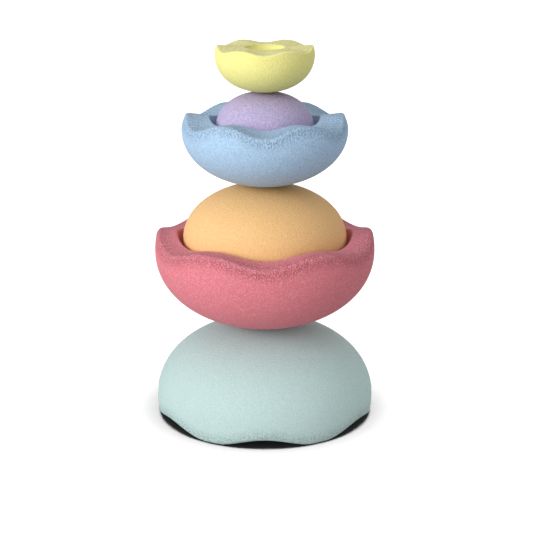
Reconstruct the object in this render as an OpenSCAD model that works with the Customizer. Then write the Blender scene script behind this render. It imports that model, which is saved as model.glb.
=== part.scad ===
// Stacking cup tower: six thick foam cups in three sizes, stood alternately dome up and cup up.
// Millimetres, +Z up. The origin is on the floor, under the middle of the tower.
// Every cup is one moulding with a domed outside, a round-bottomed cavity and a wavy rim.
// A cup is described rim up: its dome touches z = 0, and its rim crests lie at its height.

/* [Large cups] */
// Widest radius of the large cups
large_r = 137.8; // [134:0.1:145]
// Height of the large cups, from the dome to the rim crests
large_h = 118.7; // [112:0.1:126]
// Radius of the mouth of the large cavity, inside its rounded edge
large_mouth_r = 108.8; // [106:0.1:111]
// Height of the waves on the large rims
large_wave = 10.8; // [4:0.1:12]

/* [Medium cups] */
// Widest radius of the medium cups
medium_r = 102.5; // [100:0.1:103]
// Height of the medium cups, from the dome to the rim crests
medium_h = 88; // [82:0.1:96]
// Radius of the mouth of the medium cavity, inside its rounded edge
medium_mouth_r = 67.6; // [66:0.1:70]
// Height of the waves on the medium rims
medium_wave = 11.5; // [3:0.1:12]

/* [Small cups] */
// Widest radius of the small cups
small_r = 60.8; // [59:0.1:61]
// Height of the small cups, from the dome to the rim crests
small_h = 56.2; // [54:0.1:62]
// Radius of the mouth of the small cavity, inside its rounded edge
small_mouth_r = 24; // [18:0.5:30]
// Depth of the small cavity below the rim crests
small_cavity = 28; // [18:0.5:32]
// Height of the waves on the small rims
small_wave = 4.5; // [2:0.1:6]

/* [Stacking] */
// How far the crests of the nested medium rim sit below those of the large rim
medium_drop = 28.3; // [26:0.1:31]
// How far the crests of the nested small rim sit below those of the medium rim
small_drop = 29; // [27:0.1:31]
// Clear gap between two cups where one rests on the other
gap = 0.3; // [0.2:0.05:0.5]
// Number of waves around each rim
waves = 6; // [3:1:8]

/* [Hidden] */

steps_per_wave = 8;
dome_steps = 9;
wall_steps = 4;
round_steps = 3;
rim_steps = 2;
cavity_steps = 11;

foot_flat = 1.5;        // how much the tops of the waves are levelled off, so that a rim stands flat
foot_pad = 6.5;         // how far a levelled foot runs inward from the rounded outer edge
fade_share = 0.62;      // the waves fade out down the wall, to nothing at this share of the height
wave_start = 0.431;     // the rim's waves rise from nothing at this share of the radius

// The measures of one size of cup: [radius, height, belly height, dome squareness,
// lean-in radius above the belly, wave height, outer rim round, inner rim round,
// mouth radius, cavity squareness]
LARGE = [large_r, large_h, 0.804 * large_h, 2.09, 114, large_wave, 5.8, 3.2, large_mouth_r, 1.9];
MEDIUM = [medium_r, medium_h, 0.783 * medium_h, 2.03, 55, medium_wave, 4.6, 2, medium_mouth_r, 2.2];
SMALL = [small_r, small_h, 0.814 * small_h, 2.14, 41, small_wave, 2.3, 1.5, small_mouth_r, 2.2];

function radius(cup) = cup[0];
function height(cup) = cup[1];
function belly(cup) = cup[2];
function squareness(cup) = cup[3];
function lean_in(cup) = cup[4];
function wave(cup) = cup[5];
function outer_round(cup) = cup[6];
function inner_round(cup) = cup[7];
function mouth(cup) = cup[8];
function cavity_squareness(cup) = cup[9];

// Where a rim rests in a cavity, the cavity wall passes one gap outside the rim's rounded edge.
// This works out how deep the cavity has to be for that; the wall's lean settles in a few turns.
function seat_depth(cup, nested, drop, lean = 25, turns = 5) =
    let (
        reach = outer_round(nested) + gap,
        r = outside(nested, height(nested) - outer_round(nested)) - outer_round(nested) + reach * cos(lean),
        below = drop - outer_round(nested) + reach * sin(lean),
        n = cavity_squareness(cup),
        share = pow(1 - pow(r / mouth(cup), n), 1 / n),
        depth = below / share,
        slope = mouth(cup) / depth * pow(1 - pow(share, n), 1 / n - 1) * pow(share, n - 1)
    )
    turns == 0 ? depth : seat_depth(cup, nested, drop, atan(slope), turns - 1);

large_cavity = seat_depth(LARGE, MEDIUM, medium_drop);
medium_cavity = seat_depth(MEDIUM, SMALL, small_drop);

// Heights of the stack: the floor side of each cup
red_z = large_h + gap;
orange_z = red_z + large_h - medium_drop;
blue_z = orange_z + medium_h + gap;
purple_z = blue_z + medium_h - small_drop;
yellow_z = purple_z + small_h + gap;

// Outer radius at a height: a squarish dome up to the belly, then a wall that leans in
function outside(cup, z) = z < belly(cup)
    ? radius(cup) * pow(1 - pow(1 - z / belly(cup), squareness(cup)), 1 / squareness(cup))
    : radius(cup) * sqrt(1 - pow((z - belly(cup)) / lean_in(cup), 2));

// Cavity radius at a height, for a cavity of the given depth below the rim crests
function inside(cup, depth, z) = let (share = (height(cup) - z) / depth, n = cavity_squareness(cup))
    mouth(cup) * pow(max(0, 1 - pow(share, n)), 1 / n);

// Height of the rim's top face at a radius and an angle
function rim_top(cup, r, angle) =
    let (
        half = (wave(cup) + foot_flat) / 2,
        fan = max(0, (r / radius(cup) - wave_start) / (1 - wave_start))
    )
    min(height(cup), height(cup) + foot_flat - half + half * fan * cos(waves * angle));

// Outline of the cup at one angle, as [radius, height] points from the dome over the rim to the cavity floor
function outline(cup, depth, angle) =
    let (
        fade_z = fade_share * height(cup),
        fade_turn = acos(pow(1 - fade_z / belly(cup), squareness(cup) / 2)),
        dome_power = 2 / squareness(cup),
        outer = outer_round(cup),
        edge_z = rim_top(cup, radius(cup), angle) - outer,
        edge_r = outside(cup, edge_z),
        inner = inner_round(cup),
        lip_r = mouth(cup) + inner,
        lip_z = rim_top(cup, lip_r, angle) - inner,
        wall_r = inside(cup, depth, lip_z),
        pad_r = edge_r - outer - foot_pad * outer / outer_round(LARGE),
        dome = [for (i = [1:dome_steps]) let (turn = fade_turn * i / dome_steps)
            [radius(cup) * pow(sin(turn), dome_power), belly(cup) * (1 - pow(cos(turn), dome_power))]],
        wall = [for (i = [1:wall_steps]) let (z = fade_z + (edge_z - fade_z) * i / wall_steps)
            [outside(cup, z), z]],
        edge = [for (i = [1:round_steps]) let (turn = 90 * i / round_steps, r = edge_r - outer * (1 - cos(turn)))
            [r, rim_top(cup, r, angle) - outer * (1 - sin(turn))]],
        top = [for (i = [0:rim_steps]) let (r = pad_r + (wall_r + inner - pad_r) * i / rim_steps)
            [r, rim_top(cup, r, angle)]],
        lip = [for (i = [1:round_steps]) let (turn = 90 * i / round_steps, r = wall_r + inner * (1 - sin(turn)))
            [r, rim_top(cup, r, angle) - inner * (1 - cos(turn))]],
        hollow_power = 2 / cavity_squareness(cup),
        start_turn = asin(pow((height(cup) - lip[round_steps - 1][1]) / depth, 1 / hollow_power)),
        cavity = [for (i = [1:cavity_steps - 1])
            let (turn = start_turn + (90 - start_turn) * i / cavity_steps)
            [mouth(cup) * pow(cos(turn), hollow_power), height(cup) - depth * pow(sin(turn), hollow_power)]]
    )
    concat(dome, wall, edge, top, lip, cavity);

// One cup, rim up, as a closed surface swept through its outlines
module cup(cup, depth) {
    columns = waves * steps_per_wave;
    rows = dome_steps + wall_steps + round_steps + rim_steps + 1 + round_steps + cavity_steps - 1;
    sides = [for (c = [0:columns - 1]) let (angle = 360 * (c + 0.5) / columns)
        for (p = outline(cup, depth, angle)) [p[0] * cos(angle), p[0] * sin(angle), p[1]]];
    pole = columns * rows;
    floor_middle = pole + 1;
    skin = [for (c = [0:columns - 1]) let (next = (c + 1) % columns)
        for (r = [0:rows - 2]) let (a = c * rows + r, b = next * rows + r)
        for (side = [[a, a + 1, b + 1], [a, b + 1, b]]) side];
    caps = [for (c = [0:columns - 1]) let (next = (c + 1) % columns)
        for (cap = [[pole, c * rows, next * rows],
            [floor_middle, next * rows + rows - 1, c * rows + rows - 1]]) cap];
    points = concat(sides, [[0, 0, 0], [0, 0, height(cup) - depth]]);
    polyhedron(points, concat(skin, caps), convexity = 6);
}

// A cup stood dome up, with its rim crests at z = 0
module dome(cup, depth) {
    translate([0, 0, height(cup)]) rotate([180, 0, 0]) cup(cup, depth);
}

module large_cup_mint() {
    color("#bed6d3") dome(LARGE, large_cavity);
}

module large_cup_red() {
    color("#d47985") translate([0, 0, red_z]) cup(LARGE, large_cavity);
}

module medium_cup_orange() {
    color("#f6ce96") translate([0, 0, orange_z]) dome(MEDIUM, medium_cavity);
}

module medium_cup_blue() {
    color("#a6c0d8") translate([0, 0, blue_z]) cup(MEDIUM, medium_cavity);
}

module small_cup_purple() {
    color("#b8adcd") translate([0, 0, purple_z]) dome(SMALL, small_cavity);
}

module small_cup_yellow() {
    color("#f1ee9b") translate([0, 0, yellow_z]) cup(SMALL, small_cavity);
}

large_cup_mint();
large_cup_red();
medium_cup_orange();
medium_cup_blue();
small_cup_purple();
small_cup_yellow();
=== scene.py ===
"""Stacking cup tower: six thick foam cups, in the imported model's frame, in metres."""
import math
from collections import namedtuple

import bpy
import numpy as np
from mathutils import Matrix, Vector


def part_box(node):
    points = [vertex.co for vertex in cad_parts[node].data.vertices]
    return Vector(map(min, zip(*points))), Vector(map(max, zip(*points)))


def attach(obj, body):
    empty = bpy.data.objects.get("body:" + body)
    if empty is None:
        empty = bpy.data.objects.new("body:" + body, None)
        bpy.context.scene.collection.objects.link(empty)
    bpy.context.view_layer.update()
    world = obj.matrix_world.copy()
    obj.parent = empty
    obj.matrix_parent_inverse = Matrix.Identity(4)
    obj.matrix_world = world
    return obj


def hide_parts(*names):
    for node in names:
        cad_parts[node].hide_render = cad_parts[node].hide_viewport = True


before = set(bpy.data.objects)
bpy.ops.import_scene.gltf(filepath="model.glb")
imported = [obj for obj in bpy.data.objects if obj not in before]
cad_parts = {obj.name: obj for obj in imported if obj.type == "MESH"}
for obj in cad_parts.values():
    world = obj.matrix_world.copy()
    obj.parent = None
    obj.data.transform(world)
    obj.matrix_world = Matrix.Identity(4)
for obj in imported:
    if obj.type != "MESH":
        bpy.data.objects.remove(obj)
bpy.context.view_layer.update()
MM = 0.001

# ---------------------------------------------------------------- the cups' shape
# A cup is described rim up: its dome touches z = 0 and its rim crests lie at its height.
# The outline follows the CAD's, with many more points and with soft corners.
# belly: the height of the widest part, as a share of the cup's height
# squareness: the dome's power, where 2 is an ellipse and more is squarer
# lean_in: the half height of the ellipse along which the wall leans in above the belly
# mouth: the radius of the cavity at the crests' height
# columns: how many points there are around the cup
Shape = namedtuple(
    "Shape",
    "belly squareness lean_in wave outer_round inner_round mouth cavity_squareness columns",
)
LARGE = Shape(0.804, 2.09, 114 * MM, 10.8 * MM, 5.8 * MM, 3.2 * MM, 108.8 * MM, 1.9, 384)
MEDIUM = Shape(0.783, 2.03, 55 * MM, 11.5 * MM, 4.6 * MM, 2 * MM, 67.6 * MM, 2.2, 300)
SMALL = Shape(0.814, 2.14, 41 * MM, 4.5 * MM, 2.3 * MM, 1.5 * MM, 24 * MM, 2.2, 240)

WAVES = 6
FOOT_SHARE = 0.13           # how much the tops of the waves are levelled off, as a share of their height
FOOT_BLEND = 0.25 * MM      # how softly a wave runs into its levelled top
FADE_SHARE = 0.62           # the waves fade out down the wall, to nothing at this share of the height
WAVE_START = 0.431          # the rim's waves rise from nothing at this share of the radius
BAND_HEIGHT = 19 * MM       # how far the wrinkled band reaches down from the rim of a large cup
BAND_FADE = 2 / 3           # the share of the band over which it fades out

# How many rows of points each stretch of the outline has
DOME_ROWS = 64
WALL_ROWS = 26
ROUND_ROWS = 14
TOP_ROWS = 18
LIP_ROWS = 10
CAVITY_ROWS = 46

# What the foam material reads from the mesh: the rim's top face, its rounded edges and the wrinkled band
MASKS = ("top", "round_edge", "band")


def cup_outline(shape, radius, height, depth, angle):
    """The outline at each angle, from the dome over the rim to the floor of the cavity: arrays with a
    row for each point along it, for the radius, the height and the three masks of the foam material."""
    belly = shape.belly * height
    square = shape.squareness

    def outside(z):
        dome = radius * (1 - np.clip(1 - z / belly, 0, 1) ** square) ** (1 / square)
        wall = radius * np.sqrt(1 - ((z - belly) / shape.lean_in) ** 2)
        return np.where(z < belly, dome, wall)

    def inside(z):
        share = np.clip((height - z) / depth, 0, 1)
        return shape.mouth * (1 - share**shape.cavity_squareness) ** (1 / shape.cavity_squareness)

    def rim_top(r):
        foot_flat = FOOT_SHARE * shape.wave
        half = (shape.wave + foot_flat) / 2
        fan = np.maximum(0, (r / radius - WAVE_START) / (1 - WAVE_START))
        crest = foot_flat - half + half * fan * np.cos(WAVES * angle)
        return height - FOOT_BLEND * np.logaddexp(0, -crest / FOOT_BLEND)

    band_height = BAND_HEIGHT * math.sqrt(shape.outer_round / LARGE.outer_round)
    rows = []

    def add(r, z, top=0.0, round_edge=0.0, band=0.0):
        rows.append([np.broadcast_to(x, angle.shape) for x in (r, z, top, round_edge, band)])

    def wall_band(z):
        """The wrinkled band, full just under the rim and faded out at its own height below it."""
        return np.clip((1 - (rim_top(radius) - z) / band_height) / BAND_FADE, 0, 1)

    fade_z = FADE_SHARE * height
    fade_turn = math.acos((1 - fade_z / belly) ** (square / 2))
    for turn in np.linspace(0, fade_turn, DOME_ROWS + 1)[1:]:
        z = belly * (1 - math.cos(turn) ** (2 / square))
        add(radius * math.sin(turn) ** (2 / square), z, band=wall_band(z))

    outer = shape.outer_round
    edge_z = rim_top(radius) - outer
    edge_r = outside(edge_z)
    for t in np.linspace(0, 1, WALL_ROWS + 1)[1:]:
        z = fade_z + (edge_z - fade_z) * t
        add(outside(z), z, band=wall_band(z))
    for turn in np.linspace(0, math.pi / 2, ROUND_ROWS + 1)[1:]:
        r = edge_r - outer * (1 - math.cos(turn))
        add(r, rim_top(r) - outer * (1 - math.sin(turn)), round_edge=math.sin(2 * turn), band=1)

    inner = shape.inner_round
    lip_z = rim_top(shape.mouth + inner) - inner
    wall_r = inside(lip_z)
    for t in np.linspace(0, 1, TOP_ROWS + 1)[1:]:
        r = (edge_r - outer) * (1 - t) + (wall_r + inner) * t
        add(r, rim_top(r), top=1, band=1 - t)
    for turn in np.linspace(0, math.pi / 2, LIP_ROWS + 1)[1:]:
        r = wall_r + inner * (1 - math.sin(turn))
        add(r, rim_top(r) - inner * (1 - math.cos(turn)), top=1, round_edge=math.sin(2 * turn))

    power = 2 / shape.cavity_squareness
    start = np.arcsin(((height - rows[-1][1]) / depth) ** (1 / power))
    for t in np.linspace(0, 1, CAVITY_ROWS + 1)[1:-1]:
        turn = start + (math.pi / 2 - start) * t
        add(shape.mouth * np.cos(turn) ** power, height - depth * np.sin(turn) ** power)

    return [np.array(values) for values in zip(*rows)]


def cavity_depth(node, rim_z):
    """The depth of a cup's cavity. On its axis the CAD solid has the dome's tip and the cavity's floor."""
    on_axis = [v.co.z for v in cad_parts[node].data.vertices if math.hypot(v.co.x, v.co.y) < 1 * MM]
    return min(abs(z - rim_z) for z in on_axis)


def cup_mesh(name, node, shape, dome_up):
    """One cup as a closed mesh, standing where its CAD solid stands."""
    low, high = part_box(node)
    radius = (high.x - low.x) / 2
    height = high.z - low.z
    depth = cavity_depth(node, low.z if dome_up else high.z)
    columns = shape.columns
    angle = np.arange(columns) * 2 * math.pi / columns
    radii, heights, *masks = cup_outline(shape, radius, height, depth, angle)
    rows = len(radii)

    x = (radii * np.cos(angle)).T.reshape(-1)
    y = (radii * np.sin(angle)).T.reshape(-1)
    z = heights.T.reshape(-1)
    points = np.column_stack([x, y, z])
    points = np.vstack([points, [0, 0, 0], [0, 0, height - depth]])
    pole = columns * rows
    hollow = pole + 1

    c = np.arange(columns)[:, None] * rows
    n = np.roll(c, -1, axis=0)
    r = np.arange(rows - 1)[None, :]
    quads = np.stack([c + r, n + r, n + r + 1, c + r + 1], axis=-1).reshape(-1, 4)
    c, n = c[:, 0], n[:, 0]
    caps = [(pole, int(b), int(a)) for a, b in zip(c, n)]
    caps += [(hollow, int(a), int(b)) for a, b in zip(c + rows - 1, n + rows - 1)]

    if dome_up:
        points[:, 1] *= -1
        points[:, 2] = height - points[:, 2]
    points[:, 2] += low.z

    mesh = bpy.data.meshes.new(name)
    mesh.from_pydata(points.tolist(), [], quads.tolist() + caps)
    mesh.update()
    mesh.shade_smooth()
    for mask, values in zip(MASKS, masks):
        layer = mesh.attributes.new(mask, "FLOAT", "POINT")
        poles = [0, 0]
        layer.data.foreach_set("value", np.concatenate([values.T.reshape(-1), poles]).astype(np.float32))
    piece = bpy.data.objects.new(name, mesh)
    bpy.context.collection.objects.link(piece)
    return piece


# ---------------------------------------------------------------- material
# How many of each feature there are to a metre
GRAIN_SCALE = 680
PEEL_SCALE = 490
WRINKLE_SCALE = 560
BEAD_SCALE = 290
CLOUD_SCALE = 26
STREAK_STRETCH = 0.12       # the streaks are the orange peel, drawn out along Z by this

# The paler and the deeper shade of a colour, and how far each feature goes towards one of them
PALER = 0.3
DEEPER = 0.35
DRIFT = 0.05
BEAD_SHADE = 0.06
GRAIN_SHADE = 0.33
PEEL_SHADE = 0.22
# painted shade: how much darker the pits of the band's wrinkles and of the top face's stipple are, standing
# in for the shadow in them
PIT_PAINTED_SHADE = 0.5
# how much paler the rim's rounded edges are, at the least and at the most
EDGE_PALING_LEAST = 0.02
EDGE_PALING_MOST = 0.16

# The relief's height, its strength, and each feature's share of that height
RELIEF = 0.5 * MM
RELIEF_STRENGTH = 0.8
GRAIN_RELIEF = 1.1
PEEL_RELIEF = 1.1
BEAD_RELIEF = -0.2
SEAM_RELIEF = 0.15
WRINKLE_RELIEF = 0.95

# The gloss: nearly none, with the grain's crowns the roughest and the band a little smoother
SPECULAR = 0.12
SHEEN = 0.02
SHEEN_ROUGHNESS = 0.5
ROUGH_LEAST = 0.62
ROUGH_MOST = 0.85
BAND_ROUGHER = -0.12

# How a cup's foam looks: its colour, the colour of the rim's top face, and the strengths of the grain,
# of the band's wrinkles, of the top face's stipple and of the drawn streaks; the wrinkles and the stipple
# also set how much painted shade their pits get
Look = namedtuple("Look", "colour rim_tint grit wrinkles stipple streaks")
MINT = Look((0.438, 0.586, 0.569), (0.46, 0.62, 0.6), 1.0, 1.8, 0, 0)
RED = Look((0.705, 0.190, 0.232), (0.74, 0.245, 0.31), 1.55, 2.4, 0.1, 0)
ORANGE = Look((0.835, 0.505, 0.212), (0.8, 0.5, 0.22), 1.1, 0.5, 0, 0)
BLUE = Look((0.392, 0.575, 0.785), (0.4, 0.57, 0.82), 1.95, 2.2, 0.6, 0)
PURPLE = Look((0.460, 0.390, 0.622), (0.46, 0.39, 0.62), 2.1, 0.5, 0, 0)
YELLOW = Look((0.860, 0.815, 0.285), (0.81, 0.79, 0.4), 0.8, 0.3, 1.2, 0.6)


def lighter(colour, amount):
    return tuple(c + (1 - c) * amount for c in colour)


def darker(colour, amount):
    return tuple(c * (1 - amount) for c in colour)


class Graph:
    """Makes and joins the nodes of one material."""

    def __init__(self, material):
        material.use_nodes = True
        self.nodes = material.node_tree.nodes
        self.links = material.node_tree.links
        self.shader = self.nodes["Principled BSDF"]
        self.place = self.nodes.new("ShaderNodeTexCoord").outputs["Object"]

    def plug(self, socket, x):
        """Sets a socket to a number or a colour, or links it to another node's output."""
        if isinstance(x, (int, float)):
            socket.default_value = x
        elif isinstance(x, tuple):
            socket.default_value = (*x, 1)
        else:
            self.links.new(x, socket)

    def attribute(self, name):
        node = self.nodes.new("ShaderNodeAttribute")
        node.attribute_name = name
        return node.outputs["Fac"]

    def stretched(self, stretch):
        """The place in the cup, for a pattern drawn out along Z by a number below 1."""
        node = self.nodes.new("ShaderNodeMapping")
        node.inputs["Scale"].default_value = (1, 1, stretch)
        self.links.new(self.place, node.inputs["Vector"])
        return node.outputs["Vector"]

    def noise(self, scale, detail, where=None):
        node = self.nodes.new("ShaderNodeTexNoise")
        node.inputs["Scale"].default_value = scale
        node.inputs["Detail"].default_value = detail
        self.links.new(where or self.place, node.inputs["Vector"])
        return node.outputs["Fac"]

    def cells(self, scale, feature):
        node = self.nodes.new("ShaderNodeTexVoronoi")
        node.feature = feature
        node.inputs["Scale"].default_value = scale
        self.links.new(self.place, node.inputs["Vector"])
        return node.outputs

    def ramp(self, source, low, high, to_low=0.0, to_high=1.0):
        node = self.nodes.new("ShaderNodeMapRange")
        for key, x in zip(("From Min", "From Max", "To Min", "To Max"), (low, high, to_low, to_high)):
            node.inputs[key].default_value = x
        self.links.new(source, node.inputs["Value"])
        return node.outputs["Result"]

    def math(self, kind, a, b):
        node = self.nodes.new("ShaderNodeMath")
        node.operation = kind
        self.plug(node.inputs[0], a)
        self.plug(node.inputs[1], b)
        return node.outputs["Value"]

    def times(self, a, b):
        return self.math("MULTIPLY", a, b)

    def plus(self, first, *others):
        result = first
        for term in others:
            result = self.math("ADD", result, term)
        return result

    def blend(self, amount, a, b):
        """Colour a, turned towards colour b by an amount from 0 to 1."""
        node = self.nodes.new("ShaderNodeMix")
        node.data_type = "RGBA"
        factor = next(i for i in node.inputs if i.name == "Factor" and i.type == "VALUE")
        first, second = (i for i in node.inputs if i.type == "RGBA")
        self.plug(factor, amount)
        self.plug(first, a)
        self.plug(second, b)
        return next(o for o in node.outputs if o.type == "RGBA")


def foam(name, look):
    """Moulded bead foam: a matt orange-peel grain over faint fused beads, wrinkled in the band under
    the rim, tinted and stippled on the rim's top face, with painted shade in the pits of the wrinkles
    and of the stipple, and paler along the rim's rounded edges."""
    material = bpy.data.materials.new(name)
    graph = Graph(material)
    shader = graph.shader
    shader.inputs["Specular IOR Level"].default_value = SPECULAR
    shader.inputs["Sheen Weight"].default_value = SHEEN
    shader.inputs["Sheen Roughness"].default_value = SHEEN_ROUGHNESS

    grain = graph.noise(GRAIN_SCALE, 1.5)
    peel = graph.noise(PEEL_SCALE, 1)
    wrinkle = graph.ramp(graph.noise(WRINKLE_SCALE, 0.5), 0.38, 0.6)
    cloud = graph.noise(CLOUD_SCALE, 2)
    bead = graph.cells(BEAD_SCALE, "F1")
    seam = graph.cells(BEAD_SCALE, "DISTANCE_TO_EDGE")
    top, round_edge, band = (graph.attribute(mask) for mask in MASKS)
    pits = graph.plus(graph.times(band, look.wrinkles), graph.times(top, look.stipple))

    # colour: the rim's own tint, a slow drift, each bead's shade, painted shade in the pits and paler crowns
    paler = lighter(look.colour, PALER)
    deeper = darker(look.colour, DEEPER)
    shade = graph.blend(graph.times(top, graph.ramp(peel, 0.4, 0.6, 0.6, 1)), look.colour, look.rim_tint)
    shade = graph.blend(graph.ramp(cloud, 0.3, 0.7, 0, DRIFT), shade, deeper)
    shade = graph.blend(graph.ramp(bead["Color"], 0, 1, 0, BEAD_SHADE), shade, paler)
    shade = graph.blend(graph.ramp(grain, 0.36, 0.6, GRAIN_SHADE * look.grit, 0), shade, deeper)
    shade = graph.blend(graph.ramp(peel, 0.48, 0.7, 0, PEEL_SHADE * look.grit), shade, paler)
    # painted shade: the pits of the wrinkles and of the stipple are darkened, as their shadow would darken
    # them
    shade = graph.blend(graph.times(pits, graph.ramp(wrinkle, 0, 0.6, PIT_PAINTED_SHADE, 0)), shade, deeper)
    # the rim's rounded edges turn paler, by an amount that varies from place to place
    edge_paling = graph.times(round_edge, graph.ramp(cloud, 0.35, 0.65, EDGE_PALING_LEAST, EDGE_PALING_MOST))
    graph.plug(shader.inputs["Base Color"], graph.blend(edge_paling, shade, paler))

    rough = graph.ramp(grain, 0.35, 0.65, ROUGH_LEAST, ROUGH_MOST)
    graph.plug(shader.inputs["Roughness"], graph.plus(rough, graph.times(band, BAND_ROUGHER)))

    # relief: grain, peel, domed beads, their seams, the wrinkles and, where the look has them, the streaks
    terms = [
        graph.times(grain, GRAIN_RELIEF),
        graph.times(peel, PEEL_RELIEF),
        graph.times(bead["Distance"], BEAD_RELIEF),
        graph.ramp(seam["Distance"], 0, 0.1, 0, SEAM_RELIEF),
        graph.times(pits, graph.times(wrinkle, WRINKLE_RELIEF)),
    ]
    if look.streaks:
        streak = graph.noise(PEEL_SCALE, 1, graph.stretched(STREAK_STRETCH))
        terms.append(graph.times(streak, look.streaks))
    bump = graph.nodes.new("ShaderNodeBump")
    bump.inputs["Strength"].default_value = RELIEF_STRENGTH
    bump.inputs["Distance"].default_value = RELIEF
    graph.plug(bump.inputs["Height"], graph.plus(*terms))
    graph.plug(shader.inputs["Normal"], bump.outputs["Normal"])
    return material


# ---------------------------------------------------------------- the cups, from the bottom up
# piece: (CAD node, size, whether it stands dome up, look)
CUPS = {
    "cup_large_mint": ("large_cup_mint", LARGE, True, MINT),
    "cup_large_red": ("large_cup_red", LARGE, False, RED),
    "cup_medium_orange": ("medium_cup_orange", MEDIUM, True, ORANGE),
    "cup_medium_blue": ("medium_cup_blue", MEDIUM, False, BLUE),
    "cup_small_purple": ("small_cup_purple", SMALL, True, PURPLE),
    "cup_small_yellow": ("small_cup_yellow", SMALL, False, YELLOW),
}

for name, (node, shape, dome_up, look) in CUPS.items():
    piece = cup_mesh(name, node, shape, dome_up)
    colour_name = node.split("_")[-1]
    piece.data.materials.append(foam("foam_" + colour_name, look))
    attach(piece, colour_name)
    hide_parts(node)


# ---------------------------------------------------------------- floor, light and camera
FLOOR_SIDE = 60.0           # m
FLOOR_SHADE = 0.07          # dark under a strong lamp, so that it looks white and its shadow nearly black
CARD_SHADE = 0.8
CARD_DROP = 2 * MM          # how far the bounce card lies under the floor
BACKDROP_RADIUS = 28.0      # m
BACKDROP_DROP = 1.0         # how far the backdrop's edge lies under the floor
BACKDROP_RISE_DEG = 88.2    # how far up the backdrop goes: all but the very top
WORLD_LIGHT = 0.68

# Where the camera stands, and how far it looks down
CAMERA_DISTANCE = 1.8
CAMERA_HEIGHT = 0.7262
CAMERA_TILT_DEG = 16.56
CAMERA_LENS = 100.62        # in mm, on the sensor below
CAMERA_SENSOR = 36
CAMERA_SHIFT_X = 0.0031
CAMERA_SHIFT_Y = -0.0003
CAMERA_SIGHT = 100          # how far the camera sees, which is past the backdrop


def staged(name, mesh, material):
    """An object of the stage, which isn't part of the tower."""
    mesh.materials.append(material)
    thing = bpy.data.objects.new(name, mesh)
    bpy.context.collection.objects.link(thing)
    return thing


def unseen_by_light(thing):
    """The thing neither lights nor shades the cups, nor shows in them."""
    thing.visible_diffuse = False
    thing.visible_glossy = False
    thing.visible_shadow = False


def plain(name, shade, glow=0.0):
    """A plain matt grey, which may also shine white."""
    material = bpy.data.materials.new(name)
    material.use_nodes = True
    shader = material.node_tree.nodes["Principled BSDF"]
    shader.inputs["Base Color"].default_value = (shade, shade, shade, 1)
    shader.inputs["Roughness"].default_value = 0.9
    shader.inputs["Specular IOR Level"].default_value = 0.0
    shader.inputs["Emission Color"].default_value = (1, 1, 1, 1)
    shader.inputs["Emission Strength"].default_value = glow
    return material


def plane(name, z, shade):
    """A wide level plane of one matt grey."""
    far = FLOOR_SIDE / 2
    mesh = bpy.data.meshes.new(name)
    mesh.from_pydata([(-far, -far, z), (far, -far, z), (far, far, z), (-far, far, z)], [], [(0, 1, 2, 3)])
    return staged(name, mesh, plain(name, shade))


def backdrop():
    """A plain white dome, far round the floor, which only the camera sees."""
    rings = 12
    sides = 48
    points = [
        (math.cos(rise) * math.cos(turn), math.cos(rise) * math.sin(turn), math.sin(rise))
        for rise in np.linspace(0, math.radians(BACKDROP_RISE_DEG), rings)
        for turn in np.linspace(0, 2 * math.pi, sides, endpoint=False)
    ]
    points = np.array(points) * BACKDROP_RADIUS - (0, 0, BACKDROP_DROP)
    faces = [
        (i * sides + j, i * sides + (j + 1) % sides, (i + 1) * sides + (j + 1) % sides, (i + 1) * sides + j)
        for i in range(rings - 1)
        for j in range(sides)
    ]
    mesh = bpy.data.meshes.new("backdrop")
    mesh.from_pydata(points.tolist(), [], faces)
    unseen_by_light(staged("backdrop", mesh, plain("studio_backdrop", 0, glow=1.0)))


def sun(name, strength, angle_deg, towards, things):
    """A sun as soft as a large lamp. It shines along the direction towards, and lights only these things."""
    data = bpy.data.lights.new(name, "SUN")
    data.energy = strength
    data.angle = math.radians(angle_deg)
    lamp = bpy.data.objects.new(name, data)
    lamp.rotation_mode = "QUATERNION"
    lamp.rotation_quaternion = Vector(towards).to_track_quat("-Z", "Y")
    bpy.context.collection.objects.link(lamp)
    group = bpy.data.collections.new("lit_by_" + name)
    for thing in things:
        group.objects.link(thing)
    lamp.light_linking.receiver_collection = group


# The floor is what the camera sees. A second plane just under it gives the cups their light from below.
floor = plane("floor", 0, FLOOR_SHADE)
unseen_by_light(floor)
bounce = plane("bounce_card", -CARD_DROP, CARD_SHADE)
bounce.visible_camera = False
backdrop()

cups = [bpy.data.objects[name] for name in CUPS]
sun("key_light", strength=2.7, angle_deg=40, towards=(0.74, 0.67, -0.27), things=cups)
sun("base_card_light", strength=0.7, angle_deg=60, towards=(-0.85, 0.5, -0.1), things=cups[:1])
sun("floor_light", strength=57.0, angle_deg=33, towards=(0, 0.05, -1), things=[floor])

scene = bpy.context.scene
scene.world = bpy.data.worlds.new("studio")
scene.world.use_nodes = True
sky = scene.world.node_tree.nodes["Background"]
sky.inputs["Color"].default_value = (1, 1, 1, 1)
sky.inputs["Strength"].default_value = WORLD_LIGHT
scene.view_settings.view_transform = "Standard"
scene.view_settings.look = "None"

camera_data = bpy.data.cameras.new("camera")
camera_data.sensor_width = CAMERA_SENSOR
camera_data.lens = CAMERA_LENS
camera_data.shift_x = CAMERA_SHIFT_X
camera_data.shift_y = CAMERA_SHIFT_Y
camera_data.clip_end = CAMERA_SIGHT
camera = bpy.data.objects.new("camera", camera_data)
camera.location = (0, -CAMERA_DISTANCE, CAMERA_HEIGHT)
camera.rotation_euler = (math.radians(90 - CAMERA_TILT_DEG), 0, 0)
bpy.context.collection.objects.link(camera)
scene.camera = camera
